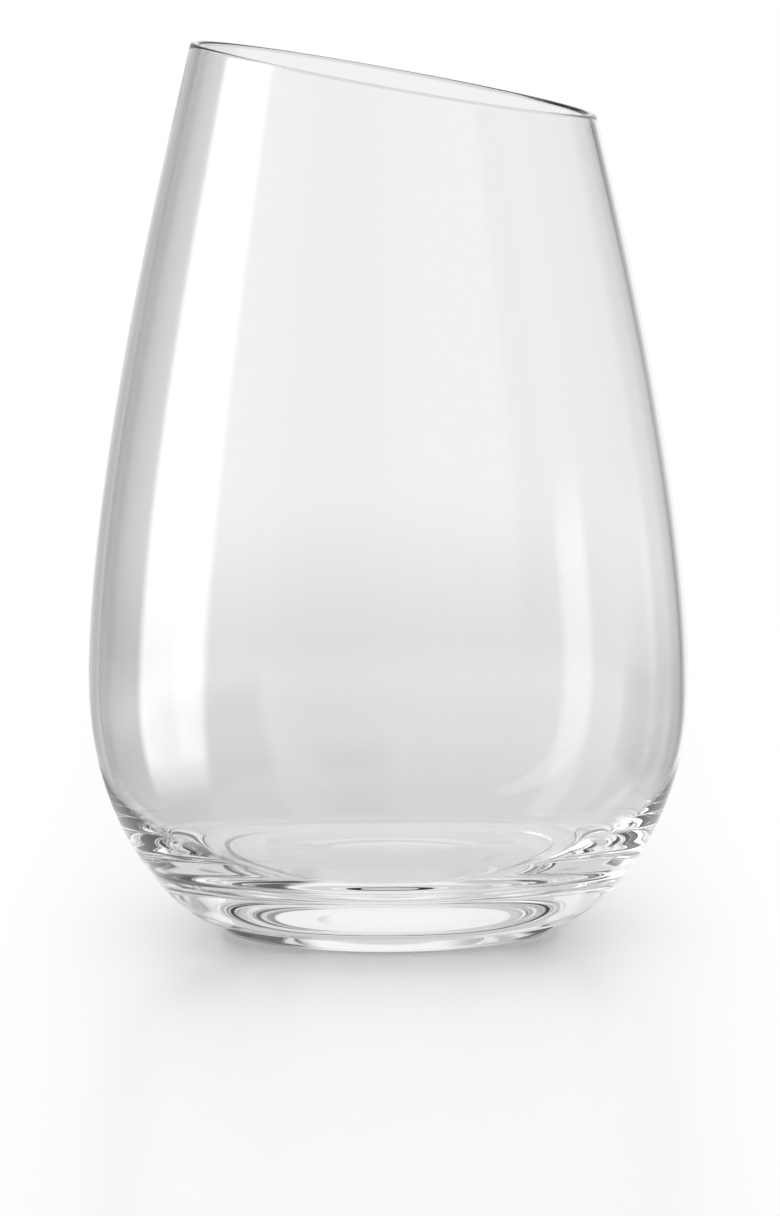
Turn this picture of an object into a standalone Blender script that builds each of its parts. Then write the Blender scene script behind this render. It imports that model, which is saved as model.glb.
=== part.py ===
"""A tumbler in one piece of clear glass: a round-bellied bowl with a thick base and a slanted rim.

Metres, +Z up. The origin is the centre of the foot, on the surface that the glass stands on.
The rim falls towards +X, so its highest point lies at -X. The glass is turned from one profile
of (radius, height) points, and the rim is a slanted plane through that turned shape.
"""
import math

import bmesh
import bpy
from mathutils import Vector
from mathutils.geometry import interpolate_bezier

# Foot and belly
FOOT_RADIUS = 0.0239             # outside of the short foot
FOOT_HEIGHT = 0.0020             # from the table up to the underside of the heel
FOOT_RING_WIDTH = 0.0053         # from the foot's outside in to the hollow
FOOT_ROUNDING = 0.0005           # rounding of the foot's lower edge
FOOT_FILLET = 0.0005             # rounding between the foot and the heel
PUNT_DEPTH = 0.0014              # height of the hollow under the base, at its centre
PUNT_EDGE_ANGLE = math.radians(4.0)  # slope of the hollow where it meets the flat ring
HEEL_RADIUS = 0.0270             # where the underside of the heel starts to rise
BELLY_RADIUS = 0.0425            # widest point of the outside
BELLY_HEIGHT = 0.0350            # height of that point

# Rim and lip
RIM_HEIGHT = 0.1258              # highest point of the rim
RIM_RADIUS = 0.0272              # outer radius at that point
RIM_SLOPE = math.radians(10.6)   # fall of the rim towards +X
RIM_FLAT = 0.00025               # flat left between the rim's two melted edges
LIP_LEAN = math.radians(13.3)    # inward lean of the straight lip under the rim
LIP_MARGIN = 0.0030              # straight lip below the lowest point of the rim

# How far each end of an outside curve keeps its direction
HEEL_ANGLE = math.radians(10.0)  # rise of the heel at its start
HEEL_REACH = 0.0024
BELLY_REACH_DOWN = 0.0217
BELLY_REACH_UP = 0.0212
LIP_REACH = 0.0252

# Wall and inside of the base
WALL_THICKNESS = 0.0011          # from the belly to the rim
FLOOR_HEIGHT = 0.0095            # edge of the inside floor above the table
FLOOR_RISE = 0.0006              # rise of the inside floor from its edge to its centre
FLOOR_RADIUS = 0.0274            # edge of the inside floor
CORNER_RADIUS = 0.0088           # rounding between the floor and the inside wall
INNER_HEEL_ANGLE = math.radians(45.8)  # rise of the inside wall where it leaves the corner
INNER_HEEL_REACH = 0.0052
INNER_BELLY_REACH = 0.0141

# Fineness of the mesh
TURN_STEPS = 64
HEEL_STEPS = 10
SIDE_STEPS = 14
CORNER_STEPS = 4
PUNT_STEPS = 6
FLOOR_STEPS = 6
ROUNDING_STEPS = 3
SHARP_ANGLE = math.radians(35.0)
MERGE_DISTANCE = 1e-6

OUT = Vector((1.0, 0.0))
UP = Vector((0.0, 1.0))
LIP_UP = Vector((-math.sin(LIP_LEAN), math.cos(LIP_LEAN)))


def direction(angle):
    """Give the profile direction that rises by an angle from straight outwards."""
    return Vector((math.cos(angle), math.sin(angle)))


def arc(centre, radius, first_angle, last_angle, steps):
    """Give the points of a circular arc in the profile."""
    turn = (last_angle - first_angle) / steps
    return [centre + radius * direction(first_angle + turn * step) for step in range(steps + 1)]


def offset_inwards(points, distance):
    """Move each inner point of a rising profile square to it, towards the axis."""
    moved = []
    for before, point, after in zip(points, points[1:], points[2:]):
        along = (after - before).normalized()
        moved.append(point + distance * Vector((-along.y, along.x)))
    return moved


def lip_ends():
    """Give the straight lip's lower end, and its upper end just past the rim."""
    highest = Vector((RIM_RADIUS, RIM_HEIGHT))
    fall = 2 * RIM_RADIUS * math.tan(RIM_SLOPE)
    length = fall / (math.cos(LIP_LEAN) - math.sin(LIP_LEAN) * math.tan(RIM_SLOPE))
    return highest - (length + LIP_MARGIN) * LIP_UP, highest + LIP_MARGIN * LIP_UP


def underside():
    """Give the hollow under the base, from the axis out to the flat ring."""
    top = Vector((0.0, PUNT_DEPTH))
    edge = Vector((FOOT_RADIUS - FOOT_RING_WIDTH, 0.0))
    reach = edge.x / 2
    top_handle = top + reach * OUT
    edge_handle = edge - reach * direction(-PUNT_EDGE_ANGLE)
    return interpolate_bezier(top, top_handle, edge_handle, edge, PUNT_STEPS + 1)


def foot():
    """Give the two corners of the short foot."""
    return [Vector((FOOT_RADIUS, 0.0)), Vector((FOOT_RADIUS, FOOT_HEIGHT))]


def heel():
    """Give the outside from the underside of the heel up to the belly."""
    start = Vector((HEEL_RADIUS, FOOT_HEIGHT))
    belly = Vector((BELLY_RADIUS, BELLY_HEIGHT))
    start_handle = start + HEEL_REACH * direction(HEEL_ANGLE)
    belly_handle = belly - BELLY_REACH_DOWN * UP
    return interpolate_bezier(start, start_handle, belly_handle, belly, HEEL_STEPS + 1)


def side():
    """Give the outside from the belly up to the lip's lower end."""
    belly = Vector((BELLY_RADIUS, BELLY_HEIGHT))
    belly_handle = belly + BELLY_REACH_UP * UP
    lip = lip_ends()[0]
    return interpolate_bezier(belly, belly_handle, lip - LIP_REACH * LIP_UP, lip, SIDE_STEPS + 1)


def inside_base(belly):
    """Give the inside from its own belly down to the centre of the floor."""
    corner_centre = Vector((FLOOR_RADIUS, FLOOR_HEIGHT + CORNER_RADIUS))
    down = -math.pi / 2
    corner = arc(corner_centre, CORNER_RADIUS, down + INNER_HEEL_ANGLE, down, CORNER_STEPS)
    corner_handle = corner[0] + INNER_HEEL_REACH * direction(INNER_HEEL_ANGLE)
    belly_handle = belly - INNER_BELLY_REACH * UP
    wall = interpolate_bezier(belly, belly_handle, corner_handle, corner[0], HEEL_STEPS + 1)
    edge = corner[-1]
    middle = Vector((0.0, FLOOR_HEIGHT + FLOOR_RISE))
    reach = FLOOR_RADIUS / 2
    floor = interpolate_bezier(edge, edge - reach * OUT, middle + reach * OUT, middle, FLOOR_STEPS + 1)
    return wall + corner[1:] + floor[1:]


def glass_profile():
    """Give the whole profile: under the base, up the outside, over the lip and down the inside."""
    outer_heel = heel()
    lip_end = lip_ends()[1]
    outer_side = side() + [lip_end]
    past_lip = lip_end + LIP_MARGIN * LIP_UP
    inner_side = offset_inwards([outer_heel[-2]] + outer_side + [past_lip], WALL_THICKNESS)
    inner_side.reverse()
    return underside() + foot() + outer_heel + outer_side[1:] + inner_side[:-1] + inside_base(inner_side[-1])


def turn_profile(bm, points):
    """Turn a profile that starts and ends on the axis into a closed skin."""
    verts = [bm.verts.new((point.x, 0.0, point.y)) for point in points]
    edges = [bm.edges.new(pair) for pair in zip(verts, verts[1:])]
    bmesh.ops.spin(bm, geom=verts + edges, cent=(0, 0, 0), axis=(0, 0, 1),
                   angle=2 * math.pi, steps=TURN_STEPS, use_merge=True)
    bmesh.ops.remove_doubles(bm, verts=bm.verts, dist=MERGE_DISTANCE)
    bmesh.ops.recalc_face_normals(bm, faces=bm.faces)


def round_edges(bm, edges, radius):
    """Round a loop of edges."""
    bmesh.ops.bevel(bm, geom=edges, offset=radius, segments=ROUNDING_STEPS,
                    profile=0.5, affect="EDGES", material=-1)


def ring_edges(bm, corner):
    """Find the edges that a corner of the profile was turned into."""
    def on_ring(vert):
        return (Vector((vert.co.xy.length, vert.co.z)) - corner).length < MERGE_DISTANCE
    return [edge for edge in bm.edges if all(map(on_ring, edge.verts))]


def round_foot(bm):
    """Round the foot's lower edge and the corner between the foot and the heel."""
    low_corner, high_corner = foot()
    round_edges(bm, ring_edges(bm, low_corner), FOOT_ROUNDING)
    round_edges(bm, ring_edges(bm, high_corner), FOOT_FILLET)


def cut_rim(bm):
    """Cut the mouth on its slant, close the wall there and melt the rim's two edges round."""
    bmesh.ops.bisect_plane(bm, geom=bm.verts[:] + bm.edges[:] + bm.faces[:],
                           plane_co=(-RIM_RADIUS, 0, RIM_HEIGHT),
                           plane_no=(math.sin(RIM_SLOPE), 0, math.cos(RIM_SLOPE)), clear_outer=True)
    rim_edges = [edge for edge in bm.edges if edge.is_boundary]
    bmesh.ops.bridge_loops(bm, edges=rim_edges)
    round_edges(bm, rim_edges, (WALL_THICKNESS - RIM_FLAT) / 2)
    bmesh.ops.recalc_face_normals(bm, faces=bm.faces)


def clear_glass():
    """Make the material of colourless soda-lime glass."""
    material = bpy.data.materials.new("clear_glass")
    material.use_nodes = True
    shader = material.node_tree.nodes["Principled BSDF"]
    shader.inputs["Base Color"].default_value = (0.96, 0.98, 0.98, 1.0)
    shader.inputs["Roughness"].default_value = 0.02
    shader.inputs["Metallic"].default_value = 0.0
    shader.inputs["IOR"].default_value = 1.5
    shader.inputs["Transmission Weight"].default_value = 1.0
    return material


def make_glass_body():
    """Make the one piece that the tumbler is."""
    bm = bmesh.new()
    turn_profile(bm, glass_profile())
    round_foot(bm)
    cut_rim(bm)
    mesh = bpy.data.meshes.new("glass_body")
    bm.to_mesh(mesh)
    bm.free()
    mesh.shade_smooth()
    mesh.set_sharp_from_angle(angle=SHARP_ANGLE)
    mesh.materials.append(clear_glass())
    body = bpy.data.objects.new("glass_body", mesh)
    bpy.context.scene.collection.objects.link(body)


def main():
    """Empty the scene and make the tumbler."""
    for old in list(bpy.data.objects):
        bpy.data.objects.remove(old)
    make_glass_body()


if __name__ == "__main__":
    main()
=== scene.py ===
"""A clear glass tumbler with a slanted rim, as it looks in a white studio.

The glass is turned from one profile of (radius, height) points, in metres. +Z is up, the origin is the
centre of the foot on the floor, and the rim falls towards +X. The studio is white where one looks
straight through the glass, and has a tall soft light and some grey and black cards for it to reflect.
"""
import math
from typing import NamedTuple

import bmesh
import bpy
from bpy.props import FloatProperty, FloatVectorProperty, IntProperty, PointerProperty
from mathutils import Matrix, Vector
from mathutils.geometry import interpolate_bezier


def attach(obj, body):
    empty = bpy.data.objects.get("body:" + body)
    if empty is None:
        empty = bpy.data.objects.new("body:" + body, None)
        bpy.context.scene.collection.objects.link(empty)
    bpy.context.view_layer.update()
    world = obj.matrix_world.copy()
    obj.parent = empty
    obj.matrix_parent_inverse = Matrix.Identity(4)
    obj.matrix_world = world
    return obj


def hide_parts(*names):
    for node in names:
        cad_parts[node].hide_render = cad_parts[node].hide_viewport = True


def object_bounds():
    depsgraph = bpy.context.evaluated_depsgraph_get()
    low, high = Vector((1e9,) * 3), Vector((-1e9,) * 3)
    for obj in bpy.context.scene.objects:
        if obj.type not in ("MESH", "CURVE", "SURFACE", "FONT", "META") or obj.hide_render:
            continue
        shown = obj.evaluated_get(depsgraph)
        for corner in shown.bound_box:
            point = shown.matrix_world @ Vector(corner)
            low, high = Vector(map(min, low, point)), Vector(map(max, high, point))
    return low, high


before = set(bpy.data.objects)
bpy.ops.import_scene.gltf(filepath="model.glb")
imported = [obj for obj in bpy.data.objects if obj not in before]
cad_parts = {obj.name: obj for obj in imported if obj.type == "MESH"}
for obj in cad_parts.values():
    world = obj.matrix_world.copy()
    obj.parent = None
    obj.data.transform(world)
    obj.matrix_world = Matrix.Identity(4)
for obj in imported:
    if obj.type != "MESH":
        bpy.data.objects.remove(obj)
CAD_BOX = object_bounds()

bl_info = {
    "name": "Clear Glass Tumbler",
    "version": (1, 0, 0),
    "blender": (4, 5, 0),
    "location": "3D View > Sidebar > Tumbler",
    "description": "Models a clear glass tumbler with a slanted rim and sets up a white studio around it",
    "category": "Add Mesh",
}

GLASS_NODE = "glass_body"
BODY = "root"
GLASS_SLOT = "clear_glass"
SENSOR_WIDTH = 36.0         # millimetres
MERGE_DISTANCE = 1e-6
FLOOR_SIDES = 96
LIGHT_BOUNCES = 40          # light is reflected many times inside the thick base
RIPPLE_DETAIL = 1.0
MARK_DETAIL = 4.0
OUT = Vector((1.0, 0.0))
UP = Vector((0.0, 1.0))


def length(name, description, default):
    """Make a setting that holds a length in metres."""
    return FloatProperty(name=name, description=description, default=default, min=0.0, precision=5,
                         unit="LENGTH")


def angle(name, description, degrees):
    """Make a setting that holds an angle."""
    return FloatProperty(name=name, description=description, default=math.radians(degrees),
                         subtype="ANGLE")


def share(name, description, default):
    """Make a setting that runs from nothing to all."""
    return FloatProperty(name=name, description=description, default=default, min=0.0, max=1.0,
                         subtype="FACTOR")


def colour(name, description, default):
    """Make a setting that holds a colour."""
    return FloatVectorProperty(name=name, description=description, default=default, min=0.0, max=1.0,
                               subtype="COLOR")


def count(name, description, default):
    """Make a setting that holds a number of steps."""
    return IntProperty(name=name, description=description, default=default, min=3)


class TumblerShape(bpy.types.PropertyGroup):
    """Sizes of the glass"""
    foot_radius: length("Foot radius", "Outside of the short foot", 0.0239)
    foot_height: length("Foot height", "From the floor up to the underside of the heel", 0.0020)
    foot_ring: length("Foot ring", "From the foot's outside in to the hollow", 0.0053)
    foot_rounding: length("Foot rounding", "Rounding of the foot's lower edge", 0.0005)
    foot_fillet: length("Foot fillet", "Rounding between the foot and the heel", 0.0005)
    punt_depth: length("Hollow depth", "Height of the hollow under the base", 0.0014)
    punt_edge_angle: angle("Hollow edge angle", "Slope of the hollow where it meets the flat ring", 4.0)
    heel_radius: length("Heel radius", "Where the underside of the heel starts to rise", 0.0270)
    belly_radius: length("Belly radius", "Widest point of the outside", CAD_BOX[1][0])
    belly_height: length("Belly height", "Height of the widest point", 0.0350)
    rim_height: length("Rim height", "Highest point of the rim", 0.1258)
    rim_radius: length("Rim radius", "Outer radius at the highest point of the rim", 0.0272)
    rim_slope: angle("Rim slope", "Fall of the rim towards +X", 10.6)
    rim_flat: length("Rim flat", "Flat left between the two melted edges of the rim", 0.00025)
    lip_lean: angle("Lip lean", "Inward lean of the straight lip under the rim", 13.3)
    lip_margin: length("Lip margin", "Straight lip below the lowest point of the rim", 0.0030)
    heel_angle: angle("Heel angle", "Rise of the heel at its start", 10.0)
    heel_reach: length("Heel reach", "How far the heel keeps that direction", 0.0024)
    belly_reach_down: length("Belly reach down", "How far the side stays upright below the belly", 0.0217)
    belly_reach_up: length("Belly reach up", "How far the side stays upright above the belly", 0.0212)
    lip_reach: length("Lip reach", "How far the side keeps its lean below the lip", 0.0252)
    wall: length("Wall", "Thickness of the glass from the belly to the rim", 0.0011)
    floor_height: length("Floor height", "Edge of the inside floor above the table", 0.0095)
    floor_rise: length("Floor rise", "Rise of the inside floor from its edge to its centre", 0.0006)
    floor_radius: length("Floor radius", "Edge of the inside floor", 0.0274)
    corner_radius: length("Corner radius", "Rounding between the floor and the inside wall", 0.0088)
    inner_heel_angle: angle("Inner heel angle", "Rise of the inside wall where it leaves the corner", 45.8)
    inner_heel_reach: length("Inner heel reach", "How far the inside wall keeps that direction", 0.0052)
    inner_belly_reach: length("Inner belly reach", "How far the inside wall stays upright", 0.0141)
    turn_steps: count("Turn steps", "Faces round the glass", 224)
    curve_steps: count("Curve steps", "Points along each long curve of the profile", 48)
    rounding_steps: count("Rounding steps", "Points along each small rounding", 6)


class TumblerFinish(bpy.types.PropertyGroup):
    """Finish of the glass"""
    tint: colour("Tint", "Colour of the light that passes the surface", (0.988, 0.988, 0.988))
    ior: FloatProperty(name="IOR", description="Refraction of soda-lime glass", default=1.5, min=1.0)
    smooth_roughness: share("Polish", "Roughness where the glass is cleanest", 0.0)
    handled_roughness: share("Handling marks", "Roughness where the glass has been handled", 0.015)
    mark_size: length("Mark size", "Length of the handling marks", 0.015)
    mark_start: share("Mark start", "Noise level at which a mark starts", 0.55)
    mark_full: share("Mark full", "Noise level at which a mark is at its roughest", 0.75)
    ripple_size: length("Ripple size", "Length of the slow ripples that blowing leaves", 0.030)
    ripple_depth: length("Ripple depth", "Depth of those ripples", 0.00002)


class TumblerStudio(bpy.types.PropertyGroup):
    """Floor and camera"""
    floor_radius: length("Floor radius", "Reach of the floor round the glass", 0.30)
    far_edge: length("Far edge", "Where the floor starts to fade away, all round", 0.15)
    mirror_edge: length("Mirror edge", "Reach of the floor that the glass reflects", 0.12)
    floor_gap: length("Floor gap", "Gap between the floor and the foot", 0.0001)
    floor_colour: colour("Floor colour", "Colour of the pale floor", (0.93, 0.93, 0.93))
    floor_roughness: share("Floor roughness", "How dull the floor's sheen is", 0.28)
    # Painted light: from shadow_edge out to white_edge beside the glass, and by front_fade in front of it,
    # the floor glows white over its real shadow
    shadow_edge: length("Shadow edge", "Where the floor starts to fade to white, beside the glass", 0.010)
    white_edge: length("White edge", "Where the floor is white, beside the glass", 0.060)
    front_reach: length("Front reach", "How far in front of the glass the floor fades", 0.090)
    front_fade: share("Front fade", "How white the floor gets in front of the glass", 0.45)
    # Painted light: rays through the glass see the floor glow, dimmer near the glass as painted shade
    near_shaded_glow: share("Near glow", "Brightness of the near floor seen through the glass", 0.62)
    far_glow: share("Far glow", "Brightness of the far floor seen through the glass", 0.72)
    glow_share: share("Glow share", "How much of that brightness is the floor's own", 0.9)
    camera_distance: length("Camera distance", "Distance from the glass's axis", 1.060)
    camera_height: length("Camera height", "Height above the floor", 0.1717)
    camera_pitch: angle("Camera pitch", "How far the camera looks down", 6.791)
    camera_roll: angle("Camera roll", "Lean of the camera", 0.368)
    focal_length: FloatProperty(name="Focal length", description="In millimetres", default=223.1,
                                unit="CAMERA")
    camera_shift: FloatProperty(name="Camera shift", description="Sideways shift of the picture",
                                default=0.0016)


def direction(rise):
    """Give the profile direction that rises by an angle from straight outwards."""
    return Vector((math.cos(rise), math.sin(rise)))


def arc(centre, radius, first, last, steps):
    """Give the points of a circular arc in the profile."""
    turn = (last - first) / steps
    return [centre + radius * direction(first + turn * step) for step in range(steps + 1)]


def offset_inwards(points, distance):
    """Move each inner point of a rising profile square to it, towards the axis."""
    moved = []
    for before, point, after in zip(points, points[1:], points[2:]):
        along = (after - before).normalized()
        moved.append(point + distance * Vector((-along.y, along.x)))
    return moved


def lip_line(shape):
    """Give the straight lip's direction, its lower end, and its upper end just past the rim."""
    lip_up = Vector((-math.sin(shape.lip_lean), math.cos(shape.lip_lean)))
    highest = Vector((shape.rim_radius, shape.rim_height))
    slope = math.tan(shape.rim_slope)
    fall = 2 * shape.rim_radius * slope / (math.cos(shape.lip_lean) - math.sin(shape.lip_lean) * slope)
    return lip_up, highest - (fall + shape.lip_margin) * lip_up, highest + shape.lip_margin * lip_up


def outside_profile(shape):
    """Give the heel, from its underside to the belly, and the side, from the belly past the rim."""
    start = Vector((shape.heel_radius, shape.foot_height))
    belly = Vector((shape.belly_radius, shape.belly_height))
    heel = interpolate_bezier(start, start + shape.heel_reach * direction(shape.heel_angle),
                              belly - shape.belly_reach_down * UP, belly, shape.curve_steps)
    lip_up, lip_low, lip_high = lip_line(shape)
    side = interpolate_bezier(belly, belly + shape.belly_reach_up * UP,
                              lip_low - shape.lip_reach * lip_up, lip_low, shape.curve_steps)
    return heel, side + [lip_high]


def underside_profile(shape):
    """Give the hollow under the base, from the axis out to the flat ring."""
    edge = Vector((shape.foot_radius - shape.foot_ring, 0.0))
    top = Vector((0.0, shape.punt_depth))
    reach = edge.x / 2
    edge_handle = edge - reach * direction(-shape.punt_edge_angle)
    return interpolate_bezier(top, top + reach * OUT, edge_handle, edge, shape.curve_steps)


def foot_corners(shape):
    """Give the two corners of the short foot."""
    return [Vector((shape.foot_radius, 0.0)), Vector((shape.foot_radius, shape.foot_height))]


def inside_base_profile(shape, belly):
    """Give the inside from its own belly down to the centre of the floor."""
    down = -math.pi / 2
    corner_centre = Vector((shape.floor_radius, shape.floor_height + shape.corner_radius))
    corner = arc(corner_centre, shape.corner_radius, down + shape.inner_heel_angle, down,
                 2 * shape.rounding_steps)
    wall = interpolate_bezier(belly, belly - shape.inner_belly_reach * UP,
                              corner[0] + shape.inner_heel_reach * direction(shape.inner_heel_angle),
                              corner[0], shape.curve_steps)
    reach = shape.floor_radius / 2 * OUT
    middle = Vector((0.0, shape.floor_height + shape.floor_rise))
    floor = interpolate_bezier(corner[-1], corner[-1] - reach, middle + reach, middle, shape.curve_steps)
    return wall + corner[1:] + floor[1:]


def glass_profile(shape):
    """Give the whole profile: under the base, up the outside, over the lip and down the inside."""
    heel, side = outside_profile(shape)
    lip_up = lip_line(shape)[0]
    inner = offset_inwards([heel[-2]] + side + [side[-1] + shape.lip_margin * lip_up], shape.wall)
    inner.reverse()
    underneath = underside_profile(shape) + foot_corners(shape)
    return underneath + heel + side[1:] + inner[:-1] + inside_base_profile(shape, inner[-1])


def turn_profile(bm, points, steps):
    """Turn a profile that starts and ends on the axis into a closed skin."""
    verts = [bm.verts.new((point.x, 0.0, point.y)) for point in points]
    edges = [bm.edges.new(pair) for pair in zip(verts, verts[1:])]
    bmesh.ops.spin(bm, geom=verts + edges, cent=(0, 0, 0), axis=(0, 0, 1),
                   angle=2 * math.pi, steps=steps, use_merge=True)
    bmesh.ops.remove_doubles(bm, verts=bm.verts, dist=MERGE_DISTANCE)
    bmesh.ops.recalc_face_normals(bm, faces=bm.faces)


def round_edges(bm, edges, radius, steps):
    """Round a loop of edges."""
    bmesh.ops.bevel(bm, geom=edges, offset=radius, segments=steps,
                    profile=0.5, affect="EDGES", material=-1)


def ring_edges(bm, corner):
    """Find the edges that a corner of the profile was turned into."""
    def on_ring(vert):
        return (Vector((vert.co.xy.length, vert.co.z)) - corner).length < MERGE_DISTANCE
    return [edge for edge in bm.edges if all(map(on_ring, edge.verts))]


def round_foot(bm, shape):
    """Round the foot's lower edge and the corner between the foot and the heel."""
    low_corner, high_corner = foot_corners(shape)
    round_edges(bm, ring_edges(bm, low_corner), shape.foot_rounding, shape.rounding_steps)
    round_edges(bm, ring_edges(bm, high_corner), shape.foot_fillet, shape.rounding_steps)


def slant_cut(bm, shape, depth, clear_above):
    """Cut through the glass on the rim's slant, at a depth below the rim."""
    across = Vector((math.sin(shape.rim_slope), 0, math.cos(shape.rim_slope)))
    highest = Vector((-shape.rim_radius, 0, shape.rim_height))
    bmesh.ops.bisect_plane(bm, geom=bm.verts[:] + bm.edges[:] + bm.faces[:],
                           plane_co=highest - depth * across, plane_no=across, clear_outer=clear_above)


def cut_rim(bm, shape):
    """Cut the mouth on its slant, close the wall there and melt the rim's two edges round.

    A second cut just below keeps the rounding from bending the smooth shading of the long lip.
    """
    slant_cut(bm, shape, 0.0, True)
    slant_cut(bm, shape, shape.wall, False)
    rim_edges = [edge for edge in bm.edges if edge.is_boundary]
    bmesh.ops.bridge_loops(bm, edges=rim_edges)
    round_edges(bm, rim_edges, (shape.wall - shape.rim_flat) / 2, shape.rounding_steps)
    bmesh.ops.recalc_face_normals(bm, faces=bm.faces)


class Nodes:
    """Adds nodes to a tree and joins them."""

    def __init__(self, tree):
        self.tree = tree
        tree.nodes.clear()

    def add(self, kind, inputs=None, **settings):
        """Add a node, set it up, and feed its inputs with values or with other nodes' sockets."""
        node = self.tree.nodes.new("ShaderNode" + kind)
        for name, value in settings.items():
            setattr(node, name, value)
        for key, value in (inputs or {}).items():
            if isinstance(value, bpy.types.NodeSocket):
                self.tree.links.new(value, node.inputs[key])
            else:
                node.inputs[key].default_value = value
        return node

    def math(self, operation, first, second=0.0, third=0.0):
        """Join two or three numbers."""
        return self.add("Math", {0: first, 1: second, 2: third}, operation=operation).outputs[0]

    def ease(self, value, low, high):
        """Run smoothly from 0 at low to 1 at high."""
        return self.add("MapRange", {"Value": value, "From Min": low, "From Max": high},
                        interpolation_type="SMOOTHSTEP").outputs[0]

    def blend(self, amount, first, second):
        """Go from one number to another by an amount."""
        return self.add("Mix", {0: amount, 2: first, 3: second}, data_type="FLOAT").outputs[0]

    def reflected(self, rays):
        """Give 1 for a ray that was reflected on its way, so that its count is above one half."""
        return self.math("GREATER_THAN", rays["Glossy Depth"], 0.5)


def clear_glass(finish):
    """Make the material: colourless glass with slow ripples and faint handling marks."""
    material = bpy.data.materials.new(GLASS_SLOT)
    material.use_nodes = True
    nodes = Nodes(material.node_tree)
    place = nodes.add("TexCoord").outputs["Object"]
    ripples = nodes.add("TexNoise", {
        "Vector": place, "Scale": 1 / finish.ripple_size, "Detail": RIPPLE_DETAIL})
    bump = nodes.add("Bump", {
        "Height": ripples.outputs["Fac"], "Distance": finish.ripple_depth, "Strength": 1.0})
    marks = nodes.add("TexNoise", {
        "Vector": place, "Scale": 1 / finish.mark_size, "Detail": MARK_DETAIL})
    roughness = nodes.add("MapRange", {
        "Value": marks.outputs["Fac"], "From Min": finish.mark_start, "From Max": finish.mark_full,
        "To Min": finish.smooth_roughness, "To Max": finish.handled_roughness})
    shader = nodes.add("BsdfPrincipled", {
        "Base Color": (*finish.tint, 1.0), "Metallic": 0.0, "IOR": finish.ior, "Transmission Weight": 1.0,
        "Roughness": roughness.outputs[0], "Normal": bump.outputs[0]})
    nodes.add("OutputMaterial", {"Surface": shader.outputs[0]})
    return material


class TUMBLER_OT_glass_body(bpy.types.Operator):
    """Turn the glass from its profile, cut its slanted rim and give it its finish"""
    bl_idname = "tumbler.glass_body"
    bl_label = "Make the glass"

    def execute(self, context):
        shape = context.scene.tumbler_shape
        bm = bmesh.new()
        turn_profile(bm, glass_profile(shape), shape.turn_steps)
        round_foot(bm, shape)
        cut_rim(bm, shape)
        if any(edge.is_boundary for edge in bm.edges):
            raise RuntimeError("The skin of the glass is not closed")
        mesh = bpy.data.meshes.new("tumbler_glass")
        bm.to_mesh(mesh)
        bm.free()
        mesh.shade_smooth()
        mesh.materials.append(clear_glass(context.scene.tumbler_finish))
        glass = bpy.data.objects.new("tumbler_glass", mesh)
        context.scene.collection.objects.link(glass)
        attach(glass, BODY)
        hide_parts(GLASS_NODE)
        return {"FINISHED"}


class Panel(NamedTuple):
    """One upright piece of the surroundings, in degrees.

    Azimuths count from straight behind the glass, to the right. The lean moves the piece to the left by
    that share of the elevation, and soft is the width of its faded edge.
    """
    left: float
    right: float
    low: float
    high: float
    soft: float
    level: float
    lean: float = 0.0


class Patch(NamedTuple):
    """One round piece of the surroundings, in degrees, with a faded edge outside its radius."""
    azimuth: float
    elevation: float
    radius: float
    soft: float
    level: float


# What the outside of the glass mirrors, each piece laid over those before it
MIRRORED_LEVEL = 0.95
MIRRORED = (
    # A dim place in front, to the left of the camera
    Patch(azimuth=-158, elevation=10, radius=12, soft=28, level=0.45),
    # A pale panel at the right
    Panel(left=92, right=116, low=-40, high=40, soft=10, level=1.15),
    # A grey and a black card behind, at the left
    Panel(left=-46, right=-6, low=-70, high=45, soft=8, level=0.5),
    Panel(left=-72, right=-29, low=-70, high=18, soft=5, level=0.03),
    # A grey card behind, at the right
    Panel(left=14, right=44, low=-70, high=35, soft=8, level=0.6),
    # The tall soft light at the left
    Panel(left=-109, right=-68, low=-30, high=60, soft=6, level=5.0, lean=0.15),
)

# What reaches the eye after being reflected inside the glass
INNER_LEVEL = 0.95
INNER = (
    # An unlit place above the camera, in two pieces that meet straight in front
    Panel(left=135, right=190, low=20, high=60, soft=20, level=0.05),
    Panel(left=-210, right=-170, low=20, high=60, soft=20, level=0.05),
    # A grey and a black card behind, at the left
    Panel(left=-46, right=-8, low=-70, high=22, soft=8, level=0.5),
    Panel(left=-72, right=-29, low=-8, high=18, soft=5, level=0.03),
    # Two black cards at the right, a low one and a wider one above it
    Panel(left=12, right=80, low=-70, high=10, soft=16, level=0.06),
    Panel(left=12, right=130, low=-3, high=45, soft=8, level=0.03),
    # The tall soft light at the left
    Panel(left=-107, right=-87, low=-19, high=60, soft=5, level=2.6),
)

# What shows straight through the glass: two levels, and the elevations in degrees between which they blend
BACKDROP_LOW = -7.3
BACKDROP_HIGH = -5.7
BACKDROP_LOW_LEVEL = 0.72
BACKDROP_HIGH_LEVEL = 0.90


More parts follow.
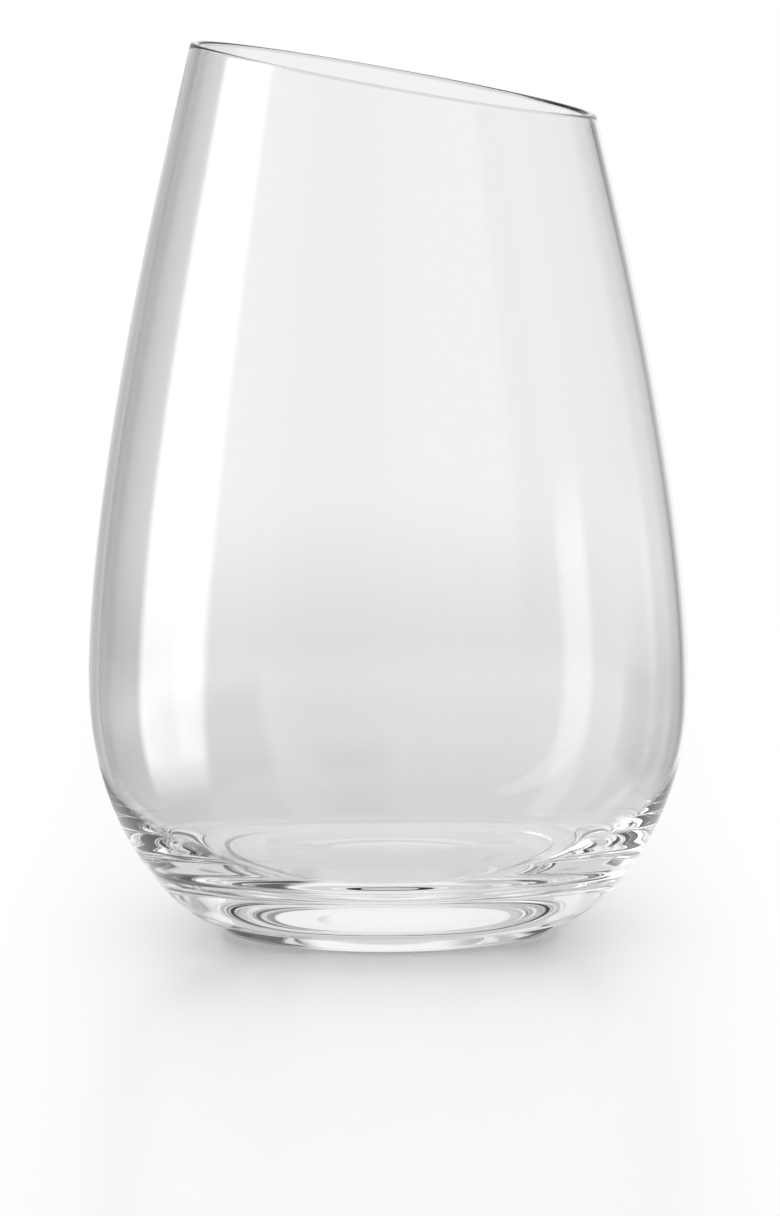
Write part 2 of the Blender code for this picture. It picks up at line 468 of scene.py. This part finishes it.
def studio_world(scene):
    """Make the surroundings: white to look at, with a soft light and cards for the glass to reflect."""
    world = bpy.data.worlds.new("white_studio")
    world.use_nodes = True
    world.cycles.sampling_method = "NONE"
    scene.world = world
    nodes = Nodes(world.node_tree)
    toward = nodes.add("TexCoord").outputs["Generated"]
    parts = nodes.add("SeparateXYZ", {0: toward}).outputs
    azimuth = nodes.math("ARCTAN2", parts["X"], parts["Y"])
    elevation = nodes.math("ARCSINE", parts["Z"])

    def between(value, low, high, soft):
        """Mask the values between two angles, with soft edges."""
        low, high, soft = math.radians(low), math.radians(high), math.radians(soft)
        return nodes.math("MULTIPLY", nodes.ease(value, low, low + soft),
                          nodes.ease(value, high, high - soft))

    def mask(piece):
        """Mask one piece of the surroundings."""
        if isinstance(piece, Panel):
            upright = nodes.math("MULTIPLY_ADD", elevation, piece.lean, azimuth)
            return nodes.math("MULTIPLY", between(upright, piece.left, piece.right, piece.soft),
                              between(elevation, piece.low, piece.high, piece.soft))
        around, height = math.radians(piece.azimuth), math.radians(piece.elevation)
        centre = (math.sin(around) * math.cos(height), math.cos(around) * math.cos(height),
                  math.sin(height))
        along = nodes.add("VectorMath", {0: toward, 1: centre}, operation="DOT_PRODUCT").outputs["Value"]
        return nodes.ease(along, math.cos(math.radians(piece.radius + piece.soft)),
                          math.cos(math.radians(piece.radius)))

    def surroundings(level, pieces):
        """Lay the pieces over an even level."""
        for piece in pieces:
            level = nodes.blend(mask(piece), level, piece.level)
        return level

    rise = nodes.ease(elevation, math.radians(BACKDROP_LOW), math.radians(BACKDROP_HIGH))
    backdrop = nodes.blend(rise, BACKDROP_LOW_LEVEL, BACKDROP_HIGH_LEVEL)
    rays = nodes.add("LightPath").outputs
    reflected = nodes.reflected(rays)
    reflection = nodes.blend(rays["Is Transmission Ray"], surroundings(MIRRORED_LEVEL, MIRRORED),
                             surroundings(INNER_LEVEL, INNER))
    plain = nodes.math("MAXIMUM", rays["Is Camera Ray"], rays["Is Diffuse Ray"])
    strength = nodes.blend(plain, nodes.blend(reflected, backdrop, reflection), 1.0)
    background = nodes.add("Background", {"Color": (1, 1, 1, 1), "Strength": strength})
    nodes.add("OutputWorld", {"Surface": background.outputs[0]})


def pale_floor_painted_light(studio):
    """Make the floor's material: pale, with a dull sheen, and with painted light that whitens it round the
    glass's shadow.

    Painted light: beside the glass and in front of it the floor glows white, which narrows its real
    shadow. Rays that went through the glass see the floor glow, a painted light that is dimmer near the
    glass as painted shade, so that the glass shows the pale surroundings. Far from the glass, they and the
    reflected rays don't see it, and its edge doesn't show in the glass.
    """
    material = bpy.data.materials.new("pale_floor_painted_light")
    material.use_nodes = True
    nodes = Nodes(material.node_tree)
    place = nodes.add("TexCoord").outputs["Object"]
    distance = nodes.add("VectorMath", {0: place}, operation="LENGTH").outputs["Value"]
    across = nodes.math("ABSOLUTE", nodes.add("SeparateXYZ", {0: place}).outputs["X"])
    # Painted light: a white glow laid over the lit floor beside the glass, in front of it and far away,
    # which narrows its real shadow
    beside = nodes.ease(across, studio.shadow_edge, studio.white_edge)
    front = nodes.math("MULTIPLY", nodes.ease(distance, studio.shadow_edge, studio.front_reach),
                       studio.front_fade)
    far = nodes.ease(distance, studio.far_edge, studio.floor_radius)
    fade = nodes.math("MAXIMUM", nodes.math("MAXIMUM", beside, front), far)
    rays = nodes.add("LightPath").outputs
    through = rays["Is Transmission Ray"]
    # Painted light seen through the glass, dimmer near it as painted shade
    painted_glow_through = nodes.blend(nodes.ease(distance, studio.white_edge, studio.floor_radius),
                               studio.near_shaded_glow, studio.far_glow)
    glow = nodes.add("Emission", {
        "Color": (1, 1, 1, 1), "Strength": nodes.blend(through, 1.0, painted_glow_through)})
    surface = nodes.add("BsdfPrincipled", {"Base Color": (*studio.floor_colour, 1.0),
                                           "Roughness": studio.floor_roughness})
    # Share of painted glow: the painted white for other rays, and mostly the painted glow for rays through
    # the glass
    amount = nodes.blend(through, fade, nodes.math("MAXIMUM", far, studio.glow_share))
    both = nodes.add("MixShader", {0: amount, 1: surface.outputs[0], 2: glow.outputs[0]})
    clear = nodes.add("BsdfTransparent")
    reflected = nodes.reflected(rays)
    past_mirror = nodes.math("MULTIPLY", reflected,
                             nodes.ease(distance, studio.white_edge, studio.mirror_edge))
    unseen = nodes.math("MAXIMUM", past_mirror, nodes.math("MULTIPLY", through, far))
    mixed = nodes.add("MixShader", {0: unseen, 1: both.outputs[0], 2: clear.outputs[0]})
    nodes.add("OutputMaterial", {"Surface": mixed.outputs[0]})
    return material


def studio_floor(scene, studio):
    """Make the round floor that the glass stands on."""
    bm = bmesh.new()
    bmesh.ops.create_circle(bm, cap_ends=True, segments=FLOOR_SIDES, radius=studio.floor_radius)
    bmesh.ops.translate(bm, verts=bm.verts, vec=(0, 0, -studio.floor_gap))
    mesh = bpy.data.meshes.new("studio_floor")
    bm.to_mesh(mesh)
    bm.free()
    mesh.materials.append(pale_floor_painted_light(studio))
    floor = bpy.data.objects.new("studio_floor", mesh)
    scene.collection.objects.link(floor)


def studio_camera(scene, studio):
    """Put the camera where the photograph was taken."""
    camera = bpy.data.cameras.new("camera")
    camera.sensor_width = SENSOR_WIDTH
    camera.sensor_fit = "AUTO"
    camera.lens = studio.focal_length
    camera.shift_x = studio.camera_shift
    holder = bpy.data.objects.new("camera", camera)
    look = Vector((0, math.cos(studio.camera_pitch), -math.sin(studio.camera_pitch)))
    turn = look.to_track_quat("-Z", "Y").to_matrix() @ Matrix.Rotation(-studio.camera_roll, 3, "Z")
    place = Matrix.Translation((0, -studio.camera_distance, studio.camera_height))
    holder.matrix_world = place @ turn.to_4x4()
    scene.collection.objects.link(holder)
    scene.camera = holder


class TUMBLER_OT_stage(bpy.types.Operator):
    """Set up the floor, the surroundings and the camera"""
    bl_idname = "tumbler.stage"
    bl_label = "Set up the studio"

    def execute(self, context):
        scene = context.scene
        studio = scene.tumbler_studio
        studio_floor(scene, studio)
        studio_world(scene)
        studio_camera(scene, studio)
        scene.view_settings.view_transform = "Standard"
        scene.cycles.max_bounces = LIGHT_BOUNCES
        scene.cycles.glossy_bounces = LIGHT_BOUNCES
        scene.cycles.transmission_bounces = LIGHT_BOUNCES
        return {"FINISHED"}


class TUMBLER_PT_sidebar(bpy.types.Panel):
    """Lists the settings and the two steps"""
    bl_label = "Tumbler"
    bl_space_type = "VIEW_3D"
    bl_region_type = "UI"
    bl_category = "Tumbler"

    def draw(self, context):
        scene = context.scene
        for settings in (scene.tumbler_shape, scene.tumbler_finish, scene.tumbler_studio):
            box = self.layout.box()
            for name in settings.__annotations__:
                box.prop(settings, name)
        self.layout.operator(TUMBLER_OT_stage.bl_idname)
        self.layout.operator(TUMBLER_OT_glass_body.bl_idname)


SETTINGS = {
    "tumbler_shape": TumblerShape,
    "tumbler_finish": TumblerFinish,
    "tumbler_studio": TumblerStudio,
}
CLASSES = (*SETTINGS.values(), TUMBLER_OT_glass_body, TUMBLER_OT_stage, TUMBLER_PT_sidebar)


def register():
    """Add the settings, the steps and the panel."""
    for cls in CLASSES:
        bpy.utils.register_class(cls)
    for name, group in SETTINGS.items():
        setattr(bpy.types.Scene, name, PointerProperty(type=group))


def unregister():
    """Take them away again."""
    for name in SETTINGS:
        delattr(bpy.types.Scene, name)
    for cls in reversed(CLASSES):
        bpy.utils.unregister_class(cls)


def main():
    """Set up the studio and make the glass."""
    register()
    bpy.ops.tumbler.stage()
    bpy.ops.tumbler.glass_body()


if __name__ == "__main__":
    main()
